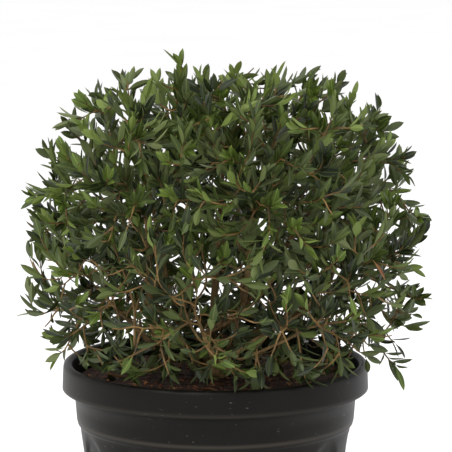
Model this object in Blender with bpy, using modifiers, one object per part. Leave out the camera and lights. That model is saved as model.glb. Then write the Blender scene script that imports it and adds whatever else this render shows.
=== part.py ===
"""A clipped narrow-leaved mock privet in a black nursery pot: pot, soil, trunk, stems, boughs and foliage.

Metres, +Z up. The origin is the middle of the pot's flat underside, and the front of the shrub faces -Y.
An angle here is seen from above: 0 is the front and a positive one turns towards +X.
The plant is one clump: a short trunk on the soil forks into stems, the stems fork into boughs, and each
bough carries one mass of foliage. A mass keeps to its own cell of the clipped crown. It has a small dense
core, and its twigs branch by one seeded rule: each runs from the point that reaches its aim most directly.
"""

import math
import random

import bmesh
import bpy
from mathutils import Matrix, Vector

# Pot, from the widest part of its rim and the heights of its bands
POT_HEIGHT = 0.325
LIP_RADIUS = 0.200
RIM_BAND = 0.035
RIM_MIDDLE = 0.1928
RIM_CURL = 0.0030
NECK_RADIUS = 0.1848
SHOULDER_TOP = POT_HEIGHT - 0.0744
SHOULDER_FOOT = POT_HEIGHT - 0.0820
SHOULDER_RADIUS = 0.1812
WALL_TOP_RADIUS = 0.1775
FOOT_RADIUS = 0.1450
FOOT_CHAMFER = 0.005
POT_WALL = 0.0028
POT_SIDES = 48
FLUTES = 12
FIRST_FLUTE = -3.75
FLUTE_HALF_WIDTH = 7.5
FLUTE_DEPTH = 0.0035
FLUTE_FOOT = 0.030
FLUTE_HEAD = SHOULDER_FOOT - 0.006
FLUTE_SLOPE = 0.006

# Soil, filled to a little below the rim
SOIL_TOP = POT_HEIGHT - 0.025
SOIL_CROWN = 0.004
SOIL_SHOULDER = 0.012
SOIL_SIDES = 40
SOIL_LUMP = 0.003
GAP = 0.0003

# Crown: a flat-topped dome, rounded under, with its middle a little to the right of the pot's
CROWN_MIDDLE = Vector((0.012, 0.0, 0.444))
CROWN_RADIUS = 0.266
CROWN_RISE = 0.266
CROWN_DROP = 0.140
CROWN_SQUARENESS = 3.0

# Tips that stand out of the clipped dome: the tall shoots, both side sprays and the sprays over the rim
FAR_TIPS = (
    Vector((-0.065, -0.030, 0.736)),
    Vector((0.032, -0.045, 0.722)),
    Vector((-0.259, -0.020, 0.389)),
    Vector((0.283, -0.015, 0.410)),
    Vector((0.244, -0.060, 0.297)),
    Vector((-0.214, -0.050, 0.322)),
)
FAR_PULL = 0.30
FAR_FIRST = 0.04

# Rings of foliage masses, as name, how many, ring radius, height and first angle
MASS_RINGS = (
    ("lower", 7, 0.190, 0.405, -64),
    ("upper", 5, 0.150, 0.565, 18),
    ("top", 1, 0.000, 0.640, 0),
)
CORE_DEPTH = 0.84
CORE_MARGIN = 0.006
CORE_REACH = 0.100
CORE_STEP = 0.004
CORE_SHARE = 0.71
CORE_TIDY = 0.92
CORE_FACE = math.radians(37)
TWIGS = {"lower": 10, "upper": 10, "top": 10}
SPARE_AIMS = 4
AIM_SHARES = (0.64, 0.87)
GUESSES = 10

# Trunk, and the stems that fork from it: name, masses carried, angle, run and height of the stem's own fork,
# turn and slope with which it leaves the trunk, and slope at its fork
TRUNK_FOOT = Vector((-0.004, 0.0, SOIL_TOP + SOIL_CROWN + GAP))
TRUNK_HEIGHT = 0.046
TRUNK_SIDES = 14
FLARE_RADIUS = 0.025
TRUNK_RADIUS = 0.0140
STEMS = (
    ("front", ("lower_2", "lower_3"), 3, 0.100, 0.341, 0, 6, 75),
    ("middle", ("upper_1", "upper_2"), 28, 0.079, 0.404, -50, 50, 50),
    ("left", ("lower_1", "upper_5"), -50, 0.088, 0.350, 0, 14, 60),
    ("right", ("lower_4",), 98, 0.085, 0.376, 0, 30, 40),
    ("back_right", ("lower_5", "upper_3"), 152, 0.084, 0.392, 0, 34, 70),
    ("back_left", ("lower_6", "lower_7", "upper_4"), -132, 0.058, 0.372, 0, 40, 76),
)
STEM_RADIUS = 0.0060
FORK_RADIUS = 0.0050
BOUGH_RADIUS = 0.0042
BOUGH_TIP_RADIUS = 0.0030
STUB = 0.019
STUB_SPREAD = 1.12
STUB_SIDES = 6
FORK_BACK = 0.004
MASS_STEM = 0.048
LIMB_STEPS = 6
LIMB_EASE = 0.36
BOUGH_LIFT = {"lower": 0.10, "upper": 0.15, "top": 1.0}
BOUGH_SWING = {"lower": 0.15, "upper": 0.30, "top": 0.0}

# Twigs and leaves, fewer and larger than on the living plant
TWIG_ROOT_RADIUS = 0.0032
TWIG_TIP_RADIUS = 0.0026
TWIG_SIDES = 3
TWIG_SPACING = 0.018
SHORTEST_TWIG = 0.018
MOST_BEND = math.radians(80)
WAY_SHARE = 0.35
LEAF_LENGTH = 0.062
LEAF_WIDTH = 0.0170
LEAF_THICKNESS = 0.0022
LEAF_WIDEST = 0.42
LEAF_ANGLE = math.radians(40)
LEAF_SINK = 0.0014
LEAF_GAP = 0.0015
LEAF_ROOM = 0.0055
LEAF_TRIES = 9
PAIR_SHARES = (1.0, 0.64, 0.34)
SEED = 7

UP = Vector((0, 0, 1))
WELD = 1e-6


def clear_scene():
    for item in list(bpy.data.objects):
        bpy.data.objects.remove(item)
    for held in list(bpy.data.collections):
        bpy.data.collections.remove(held)


def collection(name):
    made = bpy.data.collections.new(name)
    bpy.context.scene.collection.children.link(made)
    return made


def material(name, colour, roughness):
    made = bpy.data.materials.new(name)
    made.use_nodes = True
    shader = made.node_tree.nodes["Principled BSDF"]
    shader.inputs["Base Color"].default_value = (*colour, 1)
    shader.inputs["Roughness"].default_value = roughness
    shader.inputs["Metallic"].default_value = 0
    return made


def add_object(name, data, where, finish=None):
    made = bpy.data.objects.new(name, data)
    where.objects.link(made)
    if finish:
        made.data.materials.append(finish)
    return made


def mesh_from(shape, name):
    made = bpy.data.meshes.new(name)
    shape.to_mesh(made)
    shape.free()
    return made


def baked(thing, where, finish=None, weld=True):
    """The object as a plain mesh object, in place of the one with curves or modifiers."""
    bpy.context.view_layer.update()
    graph = bpy.context.evaluated_depsgraph_get()
    name = thing.name
    mesh = bpy.data.meshes.new_from_object(thing.evaluated_get(graph))
    place = thing.matrix_world.copy()
    bpy.data.objects.remove(thing)
    shape = bmesh.new()
    shape.from_mesh(mesh)
    if weld:
        bmesh.ops.remove_doubles(shape, verts=shape.verts, dist=WELD)
        bmesh.ops.recalc_face_normals(shape, faces=shape.faces)
    shape.to_mesh(mesh)
    shape.free()
    mesh.materials.clear()
    made = add_object(name, mesh, where, finish)
    made.matrix_world = place
    return made


def turned(name, profile, sides, where, finish=None):
    """A profile of (radius, height) points, outer side from top to bottom, turned about Z."""
    shape = bmesh.new()
    points = [shape.verts.new((radius, 0, height)) for radius, height in profile]
    for pair in zip(points, points[1:]):
        shape.edges.new(pair)
    made = add_object(name, mesh_from(shape, name), where, finish)
    screw = made.modifiers.new("turn", "SCREW")
    screw.steps = sides
    screw.render_steps = sides
    screw.use_merge_vertices = True
    screw.merge_threshold = WELD
    screw.use_smooth_shade = True
    return made


def heading_of(angle, slope=0):
    """The unit vector at that angle from the front and that slope above the level, both in degrees."""
    level = math.cos(math.radians(slope))
    turn = math.radians(angle)
    return Vector((level * math.sin(turn), -level * math.cos(turn), math.sin(math.radians(slope))))


def wall_radius(z):
    """The outer radius of the tapering wall, below the shoulder."""
    return FOOT_RADIUS + (WALL_TOP_RADIUS - FOOT_RADIUS) * z / SHOULDER_FOOT


def rim_curl():
    """(radius, height) points over the inner face of the rolled rim, from the skirt's side to the wall's."""
    points = []
    for degrees in range(0, 181, 60):
        turn = math.radians(degrees)
        height = POT_HEIGHT - POT_WALL - RIM_CURL + RIM_CURL * math.sin(turn)
        points.append((RIM_MIDDLE + RIM_CURL * math.cos(turn), height))
    return points


def in_flute(x, y, z):
    if not FLUTE_FOOT - WELD <= z <= FLUTE_HEAD + WELD:
        return False
    angle = math.degrees(math.atan2(x, -y))
    period = 360 / FLUTES
    away = (angle - FIRST_FLUTE + period / 2) % period - period / 2
    return abs(away) < FLUTE_HALF_WIDTH


def make_pot(where, finish):
    """The pot as one open skin, thickened: the skirt's inner face, over the rim, down the wall and under."""
    lip = POT_HEIGHT - RIM_BAND
    profile = [(LIP_RADIUS - POT_WALL, lip)] + rim_curl()
    profile += [
        (NECK_RADIUS, lip),
        (SHOULDER_RADIUS, SHOULDER_TOP),
        (WALL_TOP_RADIUS, SHOULDER_FOOT),
        (wall_radius(FLUTE_HEAD), FLUTE_HEAD),
        (wall_radius(FLUTE_FOOT), FLUTE_FOOT),
        (wall_radius(FLUTE_FOOT - FLUTE_SLOPE), FLUTE_FOOT - FLUTE_SLOPE),
        (wall_radius(FOOT_CHAMFER), FOOT_CHAMFER),
        (FOOT_RADIUS - FOOT_CHAMFER, 0),
        (0, 0),
    ]
    pot = baked(turned("pot", profile, POT_SIDES, where), where, finish, weld=False)
    for point in pot.data.vertices:
        if in_flute(*point.co):
            press = 1 - FLUTE_DEPTH / math.hypot(point.co.x, point.co.y)
            point.co.x *= press
            point.co.y *= press
    shell = pot.modifiers.new("wall", "SOLIDIFY")
    shell.thickness = POT_WALL
    shell.offset = -1
    shell.use_even_offset = True


def make_soil(where, finish, rng):
    """The root ball: as wide as the pot's wall lets it be, clear of the flutes that press into it."""
    inner = math.cos(math.pi / POT_SIDES)
    clear = POT_WALL * 1.05 + GAP
    band = POT_HEIGHT - RIM_BAND - SHOULDER_TOP

    def side(z):
        if z <= SHOULDER_FOOT:
            return wall_radius(z) * inner - FLUTE_DEPTH - clear
        share = (z - SHOULDER_TOP) / band
        return (SHOULDER_RADIUS + (NECK_RADIUS - SHOULDER_RADIUS) * share) * inner - clear

    floor = POT_WALL + GAP
    shoulder = SOIL_TOP - SOIL_SHOULDER / 2
    profile = [
        (0, SOIL_TOP + SOIL_CROWN),
        (FLARE_RADIUS * 1.4, SOIL_TOP + SOIL_CROWN),
        (side(shoulder) * 0.65, SOIL_TOP + SOIL_CROWN * 0.75),
        (side(shoulder) - SOIL_SHOULDER, SOIL_TOP),
        (side(shoulder), shoulder),
        (side(SHOULDER_TOP + FLUTE_SLOPE), SHOULDER_TOP + FLUTE_SLOPE),
        (side(SHOULDER_FOOT - FLUTE_SLOPE), SHOULDER_FOOT - FLUTE_SLOPE),
        (side(2 * FOOT_CHAMFER), 2 * FOOT_CHAMFER),
        (side(FOOT_CHAMFER) - FOOT_CHAMFER, floor),
        (0, floor),
    ]
    soil = baked(turned("soil", profile, SOIL_SIDES, where), where, finish, weld=False)
    lumpy = range(int(side(shoulder) * 500), int(side(shoulder) * 800))
    for point in soil.data.vertices:
        if point.co.z > SOIL_TOP and int(math.hypot(point.co.x, point.co.y) * 1000) in lumpy:
            point.co.z += rng.uniform(-SOIL_LUMP, SOIL_LUMP)


def bezier(start, first, second, end, steps):
    """Points along a cubic curve from start to end."""
    points = []
    for step in range(steps + 1):
        t = step / steps
        s = 1 - t
        points.append(start * s**3 + first * 3 * s * s * t + second * 3 * s * t * t + end * t**3)
    return points


def tube(name, points, radii, where, finish):
    """A tapering limb with flat ends, as a curve object."""
    line = bpy.data.curves.new(name, "CURVE")
    line.dimensions = "3D"
    line.bevel_depth = radii[0]
    line.bevel_resolution = 2
    line.use_fill_caps = True
    spline = line.splines.new("POLY")
    spline.points.add(len(points) - 1)
    for point, place, radius in zip(spline.points, points, radii):
        point.co = (*place, 1)
        point.radius = radius / radii[0]
    return add_object(name, line, where, finish)


def cone(start, end, root_radius, tip_radius, sides, where, turn=0.0):
    """A straight tapering piece from start to end with flat ends."""
    shape = bmesh.new()
    along = end - start
    bmesh.ops.create_cone(
        shape, cap_ends=True, segments=sides, radius1=root_radius, radius2=tip_radius, depth=along.length
    )
    upright = along.to_track_quat("Z", "Y").to_matrix().to_4x4()
    stand = Matrix.Translation(start.lerp(end, 0.5)) @ upright @ Matrix.Rotation(turn, 4, "Z")
    bmesh.ops.transform(shape, verts=shape.verts, matrix=stand)
    return add_object("piece", mesh_from(shape, "piece"), where)


def drop_scraps(mesh):
    """Keep only the largest body of faces that meet edge to edge."""
    shape = bmesh.new()
    shape.from_mesh(mesh)
    bodies = []
    left = set(shape.faces)
    while left:
        body = [left.pop()]
        for face in body:
            near = {other for edge in face.edges for other in edge.link_faces} & left
            left -= near
            body += near
        bodies.append(body)
    bodies.sort(key=len)
    for body in bodies[:-1]:
        bmesh.ops.delete(shape, geom=body, context="FACES")
    shape.to_mesh(mesh)
    shape.free()


def joined(name, first, pieces, where, finish):
    """One solid of the first object and a collection of others, which are then removed."""
    join = first.modifiers.new("join", "BOOLEAN")
    join.operation = "UNION"
    join.operand_type = "COLLECTION"
    join.collection = pieces
    join.solver = "MANIFOLD"
    made = baked(first, where, finish, weld=False)
    made.name = name
    drop_scraps(made.data)
    for item in list(pieces.objects):
        bpy.data.objects.remove(item)
    bpy.data.collections.remove(pieces)
    return made


def outline_share(point):
    """0 in the crown's middle and 1 on its clipped outline."""
    away = point - CROWN_MIDDLE
    level = math.hypot(away.x, away.y) / CROWN_RADIUS
    height = abs(away.z) / (CROWN_RISE if away.z > 0 else CROWN_DROP)
    return (level**CROWN_SQUARENESS + height**CROWN_SQUARENESS) ** (1 / CROWN_SQUARENESS)


def clear_of_pot(point, margin):
    """Whether a point keeps that far above the soil and away from the rim."""
    radius = math.hypot(point.x, point.y)
    if point.z > POT_HEIGHT + margin:
        return True
    if radius < RIM_MIDDLE - 2 * RIM_CURL - POT_WALL - margin:
        return point.z > SOIL_TOP + SOIL_CROWN + SOIL_LUMP + margin
    return radius > LIP_RADIUS + margin


def mass_centres():
    """{mass name: the centre of its cell}. A point belongs to the mass whose centre is nearest."""
    centres = {}
    for ring, count, radius, height, first in MASS_RINGS:
        for place in range(count):
            name = ring if count == 1 else f"{ring}_{place + 1}"
            level = heading_of(first + place * 360 / count) * radius
            centres[name] = Vector((CROWN_MIDDLE.x, CROWN_MIDDLE.y, height)) + level
    return centres


def core_middle(centre):
    return CROWN_MIDDLE + (centre - CROWN_MIDDLE) * CORE_DEPTH


class Cell:
    """The space of one foliage mass: its share of the crown, clear of the pot and of every limb."""

    def __init__(self, name, centres, limbs):
        self.name = name
        self.centre = centres[name]
        self.others = [centre for other, centre in centres.items() if other != name]
        self.limbs = limbs

    def inside(self, point, margin):
        """Whether the point is in the cell by that margin, on flat borders half-way to each neighbour."""
        for other in self.others:
            between = other - self.centre
            if (point - (self.centre + other) / 2).dot(between) > -margin * between.length:
                return False
        return clear_of_pot(point, margin)

    def takes(self, points, margin, most_share):
        """Whether all the points are in the cell, within that share of the crown, and clear of the limbs."""
        for point in points:
            if not self.inside(point, margin) or outline_share(point) > most_share:
                return False
            if any((point - place).length < radius + margin for place, radius in self.limbs):
                return False
        return True


class Core:
    """The dense middle of a mass: it reaches most of the way to its cell's borders, all round."""

    def __init__(self, cell):
        self.middle = core_middle(cell.centre)
        self.shape = bmesh.new()
        bmesh.ops.create_icosphere(self.shape, subdivisions=2, radius=1)
        self.reaches = []
        for point in self.shape.verts:
            heading = point.co.normalized()
            reach = self.reach_along(heading, cell) * CORE_TIDY
            self.reaches.append((heading, reach))
            point.co = self.middle + heading * reach

    def reach_along(self, heading, cell):
        """How far a corner may go: within the cell, over the rim, and short of any limb that its faces meet."""
        most = CORE_REACH
        for place, radius in cell.limbs:
            away = place - self.middle
            if away.length < most + radius + CORE_MARGIN and heading.angle(away) < CORE_FACE:
                most = away.length - radius - CORE_MARGIN
        reach = CORE_STEP
        while reach < most:
            point = self.middle + heading * reach
            if point.z < POT_HEIGHT + CORE_MARGIN or not cell.takes([point], CORE_MARGIN, CORE_SHARE):
                break
            reach += CORE_STEP
        return min(reach, most)

    def covers(self, point):
        """Whether the point lies in the core, judged by the nearest of its corners."""
        away = point - self.middle
        _, reach = max(self.reaches, key=lambda corner: corner[0].dot(away))
        return away.length < reach

    def add_to(self, where):
        bmesh.ops.recalc_face_normals(self.shape, faces=self.shape.faces)
        return add_object("piece", mesh_from(self.shape, "piece"), where)


def between(start, end, count, first=0.0):
    return [start.lerp(end, first + (1 - first) * step / count) for step in range(count + 1)]


def far_end(tip, cell):
    """Where the twig that carries a far tip ends."""
    return tip.lerp(cell.centre, FAR_PULL)


def scatter_aims(cell, core, count, rng):
    """Twig ends spread evenly round the core: each is the loneliest of a few guesses."""
    least, most = AIM_SHARES
    aims = [far_end(tip, cell) for tip in FAR_TIPS if cell.inside(tip, 0)]
    while len(aims) < count:
        guesses = []
        while len(guesses) < GUESSES:
            spread = Vector([rng.uniform(-1, 1) for _ in range(3)])
            guess = CROWN_MIDDLE + spread * CROWN_RADIUS
            if cell.inside(guess, TWIG_SPACING / 2) and least < outline_share(guess) < most:
                if not core.covers(guess):
                    guesses.append(guess)
        aims.append(max(guesses, key=lambda guess: min([(guess - aim).length for aim in aims], default=1)))
    return aims


def grow(root, middle, aims, most, cell):
    """Twigs as (start, end) pairs: each new one leaves the point that reaches its aim most directly."""
    heading = (middle - root).normalized()
    points = [(point, heading, 0) for point in between(root, middle, 3, 0.5)]
    far_ends = [far_end(tip, cell) for tip in FAR_TIPS]
    twigs = []
    waiting = list(aims)
    while waiting and len(twigs) < most:
        best = None
        for aim in waiting:
            for point, direction, way in points:
                gap = aim - point
                if gap.length > WELD and gap.angle(direction) < MOST_BEND:
                    cost = gap.length + WAY_SHARE * way - FAR_FIRST * (aim in far_ends)
                    if best is None or cost < best[0]:
                        best = (cost, aim, point, way)
        if best is None:
            break
        _, aim, point, way = best
        waiting.remove(aim)
        length = (aim - point).length
        count = max(2, round(length / TWIG_SPACING))
        path = between(point, aim, 3 * count, min(0.3, TWIG_SPACING / 2 / length))
        if length < SHORTEST_TWIG or not cell.takes(path, TWIG_ROOT_RADIUS + LEAF_GAP, 2):
            continue
        twigs.append((point, aim))
        points += [(place, (aim - point).normalized(), way + (place - point).length) for place in path[3::3]]
    return twigs


def leaf(root, direction, across, length, where):
    """A six-faced leaf: two points, two edges and a keel along its midrib."""
    shape = bmesh.new()
    bmesh.ops.create_uvsphere(shape, u_segments=3, v_segments=2, radius=1)
    for point in shape.verts:
        if abs(point.co.z) < 0.5:
            point.co.z = 2 * LEAF_WIDEST - 1
    keel = direction.cross(across).normalized()
    side = LEAF_WIDTH / 2 / math.sin(math.radians(120))
    axes = Matrix((keel * LEAF_THICKNESS / 1.5, across * side, direction * length / 2)).transposed()
    stand = Matrix.Translation(root + direction * (length / 2)) @ axes.to_4x4()
    bmesh.ops.transform(shape, verts=shape.verts, matrix=stand)
    bmesh.ops.recalc_face_normals(shape, faces=shape.faces)
    return add_object("piece", mesh_from(shape, "piece"), where)


def has_room(points, taken):
    """Whether a leaf's points keep off the twigs and leaves that are already there."""
    return all((point - other).length > LEAF_ROOM for point in points for other in taken)


def leaf_points(root, direction, across, length):
    """Points over a leaf, away from its root, that have to stay in its cell."""
    points = []
    for step in range(2, 11):
        share = step / 10
        width = min(share / LEAF_WIDEST, (1 - share) / (1 - LEAF_WIDEST)) * LEAF_WIDTH / 2
        points += [root + direction * (length * share) + across * (width * side) for side in (-1, 0, 1)]
    return points


def leaves_of(twig, cell, core, taken, rng, where):
    """Opposite pairs back from the twig's end, each turned a quarter from the last, and a leaf to a far tip."""
    start, end = twig
    heading = (end - start).normalized()
    side = heading.orthogonal().normalized()
    side.rotate(Matrix.Rotation(rng.uniform(0, math.pi), 3, heading))
    made = 0
    for tip in FAR_TIPS:
        if (far_end(tip, cell) - end).length < WELD:
            foot = end - heading * (2 * LEAF_SINK)
            spine = (tip - foot).normalized()
            leaf(foot, spine, spine.cross(UP).normalized(), (tip - foot).length, where)
            taken += between(foot, tip, 10, 0.2)
            made += 1
    for turn, share in enumerate(PAIR_SHARES):
        node = start.lerp(end, share) - heading * (3 * LEAF_SINK if share == 1 else 0)
        if core.covers(node):
            continue
        across = side.copy()
        across.rotate(Matrix.Rotation(turn * math.pi / 2, 3, heading))
        for sign in (-1, 1):
            for _ in range(LEAF_TRIES):
                angle = LEAF_ANGLE * rng.uniform(0.6, 1.4)
                direction = (heading * math.cos(angle) + across * (sign * math.sin(angle))).normalized()
                blade = heading.cross(direction).normalized()
                length = LEAF_LENGTH * rng.uniform(0.8, 1.1)
                root = node + heading * (sign * LEAF_SINK) - direction * LEAF_SINK
                spine = between(root, root + direction * length, 8, 0.3)
                if not has_room(spine, taken):
                    continue
                if cell.takes(leaf_points(root, direction, blade, length), LEAF_GAP, 1.0):
                    leaf(root, direction, blade, length, where)
                    taken += spine
                    made += 1
                    break
    return made


def make_mass(name, cell, root, where, finish):
    """One mass: a stem that continues its bough into a core, twigs out of that, and leaves on the twigs."""
    rng = random.Random(f"{SEED} {name}")
    pieces = collection(f"pieces of {name}")
    ring = name.split("_")[0]
    core = Core(cell)
    aims = scatter_aims(cell, core, TWIGS[ring] + SPARE_AIMS, rng)
    twigs = grow(root, core.middle, aims, TWIGS[ring], cell)
    stem = cone(root, core.middle, BOUGH_TIP_RADIUS, TWIG_ROOT_RADIUS, STUB_SIDES, where)
    taken = [point for start, end in twigs for point in between(start, end, 12)]
    leaves = 0
    for twig in twigs:
        cone(*twig, TWIG_ROOT_RADIUS, TWIG_TIP_RADIUS, TWIG_SIDES, pieces, rng.uniform(0, math.pi))
        leaves += leaves_of(twig, cell, core, taken, rng, pieces)
    core.add_to(pieces)
    mass = joined(f"foliage_{name}", stem, pieces, where, finish)
    print(f"{mass.name}: {len(twigs)} twigs, {leaves} leaves, {len(mass.data.polygons)} faces")
    return leaves


def limb_samples(points, radii):
    """(place, radius) pairs a few millimetres apart along a limb."""
    samples = []
    for start, end, first, last in zip(points, points[1:], radii, radii[1:]):
        count = max(1, round((end - start).length / BOUGH_TIP_RADIUS))
        samples += [(start.lerp(end, step / count), first + (last - first) * step / count) for step in range(count + 1)]
    return samples


def limb_path(start, leaving, end, arriving):
    """A limb's points: it leaves along one direction and eases into the other, with a straight step at each end."""
    ease = (end - start).length * LIMB_EASE
    points = bezier(start, start + leaving * ease, end - arriving * ease, end, LIMB_STEPS)
    points[1] = start + leaving * (points[1] - start).length
    points[-2] = end - arriving * (end - points[-2]).length
    return points


def tapered(first, last):
    return [first + (last - first) * step / LIMB_STEPS for step in range(LIMB_STEPS + 1)]


def limb_layout(centres):
    """{limb: (points, radii)} for each stem and bough, and {carrier: the stubs that its limbs leave by}."""
    limbs = {}
    stubs = {"trunk": []}

    def fork(carrier, place, direction, radius):
        """A stub on the carrier, and the place just past its end where a limb starts."""
        stubs[carrier].append((place, place + direction * STUB, radius))
        return place + direction * (STUB + GAP)

    def add_bough(mass, carrier, place, outward, radius):
        """A bough that leaves its fork upwards and outwards, and turns towards the middle of its mass."""
        middle = core_middle(centres[mass])
        ring = mass.split("_")[0]
        swing = UP * BOUGH_LIFT[ring] + outward * BOUGH_SWING[ring]
        direction = ((middle - place).normalized() + swing).normalized()
        start = fork(carrier, place, direction, radius)
        arriving = (middle - start).normalized()
        end = middle - arriving * min(MASS_STEM, (middle - start).length / 2)
        limbs[f"bough_{mass}"] = (limb_path(start, direction, end, arriving), tapered(radius, BOUGH_TIP_RADIUS))

    for name, masses, angle, run, height, turn, slope, end_slope in STEMS:
        stem = f"stem_{name}"
        stubs[stem] = []
        leaving = heading_of(angle + turn, slope)
        place = TRUNK_FOOT + UP * (TRUNK_HEIGHT * (0.35 + 0.45 * math.sin(math.radians(slope))))
        start = fork("trunk", place, leaving, STEM_RADIUS)
        end = TRUNK_FOOT + heading_of(angle) * run
        end.z = height
        arriving = heading_of(angle, end_slope)
        limbs[stem] = (limb_path(start, leaving, end, arriving), tapered(STEM_RADIUS, FORK_RADIUS))
        for mass in masses:
            add_bough(mass, stem, end - arriving * FORK_BACK, heading_of(angle), BOUGH_RADIUS)
    add_bough("top", "trunk", TRUNK_FOOT + UP * (TRUNK_HEIGHT * 0.7), UP, FORK_RADIUS)
    return limbs, stubs


def make_trunk(stubs, where, finish):
    """The short trunk: a flat cut on the soil, a root flare, and a stub for each limb that leaves it."""
    profile = [
        (0, TRUNK_HEIGHT),
        (TRUNK_RADIUS * 0.8, TRUNK_HEIGHT * 0.88),
        (TRUNK_RADIUS, TRUNK_HEIGHT * 0.55),
        (FLARE_RADIUS * 0.72, TRUNK_HEIGHT * 0.22),
        (FLARE_RADIUS, 0),
        (0, 0),
    ]
    stock = turned("stock", profile, TRUNK_SIDES, where)
    stock.location = TRUNK_FOOT
    pieces = collection("pieces of trunk")
    for start, end, radius in stubs:
        cone(start, end, radius * STUB_SPREAD, radius, STUB_SIDES, pieces)
    joined("trunk", stock, pieces, where, finish)


def make_limbs(limbs, stubs, where, finish):
    """Each stem is its tube with the stubs of its fork fused on, and each bough is a tube."""
    for name, (points, radii) in limbs.items():
        limb = tube(name, points, radii, where, finish)
        if stubs.get(name):
            limb = baked(limb, where)
            pieces = collection(f"pieces of {name}")
            for start, end, radius in stubs[name]:
                cone(start, end, radius * STUB_SPREAD, radius, STUB_SIDES, pieces)
            joined(name, limb, pieces, where, finish)


def main():
    clear_scene()
    shrub = collection("potted_mock_privet")
    black_plastic = material("black pot plastic", (0.020, 0.019, 0.017), 0.42)
    dark_soil = material("bark soil", (0.055, 0.030, 0.018), 0.95)
    bark = material("young bark", (0.210, 0.120, 0.055), 0.75)
    green = material("leaf green", (0.060, 0.120, 0.030), 0.50)
    make_pot(shrub, black_plastic)
    make_soil(shrub, dark_soil, random.Random(SEED))
    centres = mass_centres()
    limbs, stubs = limb_layout(centres)
    make_trunk(stubs["trunk"], shrub, bark)
    make_limbs(limbs, stubs, shrub, bark)
    samples = limb_samples([TRUNK_FOOT, TRUNK_FOOT + UP * TRUNK_HEIGHT], [FLARE_RADIUS, TRUNK_RADIUS])
    for points, radii in limbs.values():
        samples += limb_samples(points, radii)
    for held in stubs.values():
        for start, end, radius in held:
            samples += limb_samples([start, end], [radius * STUB_SPREAD, radius])
    leaves = 0
    for name, centre in centres.items():
        points, _ = limbs[f"bough_{name}"]
        root = points[-1] + (core_middle(centre) - points[-1]).normalized() * GAP
        leaves += make_mass(name, Cell(name, centres, samples), root, shrub, green)
    print(f"{leaves} leaves in all")


main()
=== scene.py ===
# %% [markdown]
# # A potted narrow-leaved mock privet
#
# The imported model of the plant is loaded as a fixed frame: pot, soil, trunk, stems, boughs and
# thirteen masses of foliage. Everything below is laid over that frame in the same place, so nothing
# has to be fitted.

# %% Load the frame
import math
import random

import bmesh
import bpy
import numpy as np
from mathutils import Matrix, Vector, noise
from mathutils.bvhtree import BVHTree


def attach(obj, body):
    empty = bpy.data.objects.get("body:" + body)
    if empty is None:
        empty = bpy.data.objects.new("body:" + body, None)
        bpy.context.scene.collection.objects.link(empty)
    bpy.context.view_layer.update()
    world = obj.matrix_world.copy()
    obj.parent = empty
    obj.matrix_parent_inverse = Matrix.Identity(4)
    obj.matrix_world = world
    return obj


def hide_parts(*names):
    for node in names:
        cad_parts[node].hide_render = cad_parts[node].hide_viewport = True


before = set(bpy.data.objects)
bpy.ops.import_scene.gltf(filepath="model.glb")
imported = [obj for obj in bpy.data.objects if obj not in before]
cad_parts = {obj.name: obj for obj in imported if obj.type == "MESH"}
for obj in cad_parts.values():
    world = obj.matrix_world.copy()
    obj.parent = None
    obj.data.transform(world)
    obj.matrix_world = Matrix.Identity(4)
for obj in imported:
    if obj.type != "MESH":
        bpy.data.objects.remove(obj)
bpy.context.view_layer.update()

rng = random.Random(7)
UP = Vector((0, 0, 1))
print("the frame has", len(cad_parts), "nodes")

# %% [markdown]
# ## The view
#
# The photograph was taken from slightly above with a long lens, so that the pot's rim is a flat
# ellipse. The camera stands on a line that rises 8.5 degrees from the middle of the crown, and its
# lens is chosen so that the frame is as wide as the part of the plant that it shows. A large soft
# light above the camera, weaker ones at the side and behind, and a white world give the even studio
# light. The floor is a wide pale disc.

# %% Camera, lights and floor
VIEW_MIDDLE = Vector((0.0139, 0, 0.502))
VIEW_WIDTH = 0.5867
VIEW_DISTANCE = 3.4
VIEW_SLOPE = math.radians(8.46)
VIEW_END = 200
WORLD_STRENGTH = 1.04

camera = bpy.data.objects.new("camera", bpy.data.cameras.new("camera"))
bpy.context.scene.collection.objects.link(camera)
camera.data.lens = camera.data.sensor_width * VIEW_DISTANCE / VIEW_WIDTH
back = Vector((0, -math.cos(VIEW_SLOPE), math.sin(VIEW_SLOPE)))
camera.location = VIEW_MIDDLE + back * VIEW_DISTANCE
camera.rotation_euler = (-back).to_track_quat("-Z", "Y").to_euler()
camera.data.clip_end = VIEW_END
bpy.context.scene.camera = camera


def area_light(name, place, size, power):
    light = bpy.data.objects.new(name, bpy.data.lights.new(name, "AREA"))
    light.data.size = size
    light.data.energy = power
    light.location = place
    light.rotation_euler = (VIEW_MIDDLE - light.location).to_track_quat("-Z", "Y").to_euler()
    bpy.context.scene.collection.objects.link(light)


area_light("main light", place=Vector((-1.3, -2.4, 3.0)), size=2.2, power=74)
area_light("fill light", place=Vector((2.6, -1.8, 1.6)), size=2.0, power=8)
area_light("back light", place=Vector((0.4, 2.6, 2.8)), size=2.4, power=20)

world = bpy.data.worlds.new("white studio")
world.use_nodes = True
world.node_tree.nodes["Background"].inputs["Color"].default_value = (1, 1, 1, 1)
world.node_tree.nodes["Background"].inputs["Strength"].default_value = WORLD_STRENGTH
bpy.context.scene.world = world
bpy.context.scene.view_settings.view_transform = "Standard"
print("the camera is", VIEW_DISTANCE, "m away with a lens of", round(camera.data.lens), "mm")

# %% [markdown]
# ## Helpers for finishes
#
# Each finish is a Principled shader whose colour wanders between two or three tones. A noise
# texture on Object coordinates picks the tone, and a second, finer noise makes a slight relief
# through a Bump node. The pattern is solid in space, so it has no seams and needs no unwrapping.


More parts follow.
